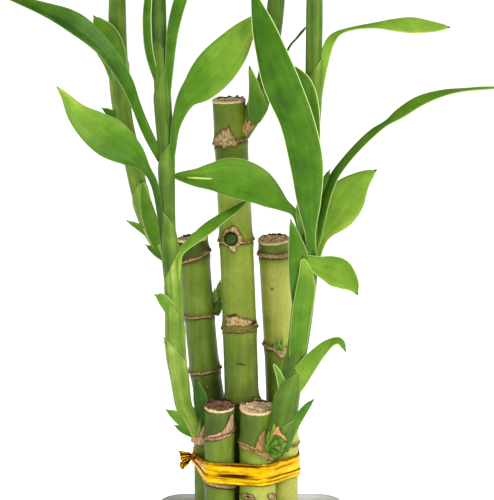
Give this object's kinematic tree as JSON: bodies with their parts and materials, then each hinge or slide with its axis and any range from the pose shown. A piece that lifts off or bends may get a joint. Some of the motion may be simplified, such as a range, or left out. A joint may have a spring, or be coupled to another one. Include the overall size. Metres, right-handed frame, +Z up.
{
  "type": "lucky bamboo in a square bowl",
  "caption": "Tied canes of three lengths with leafy green shoots, standing in pebbles in a small square ceramic bowl.",
  "frame": {"origin": "the middle of the bowl's flat underside", "axes": "+Z up along the canes, +X to the viewer's right, +Y away from the viewer"},
  "size_m": [0.1737, 0.1034, 0.3262],
  "materials": {
    "bowl": "glossy white glaze",
    "pebbles": "smooth river pebbles",
    "cane": "waxy green cane skin",
    "tie": "gold metallised film",
    "shoot": "smooth leaf"
  },
  "bodies": {
    "root": {"bowl": "bowl", "pebbles": "pebbles", "cane_tall": "cane", "cane_left_mid": "cane", "cane_right_mid": "cane", "cane_front_left": "cane", "cane_front_center": "cane", "cane_left_back": "cane", "cane_right_back": "cane", "tie": "tie", "shoot_left": "shoot", "shoot_far_left": "shoot", "shoot_center": "shoot", "shoot_right": "shoot", "shoot_sprout": "shoot"}
  },
  "joints": []
}
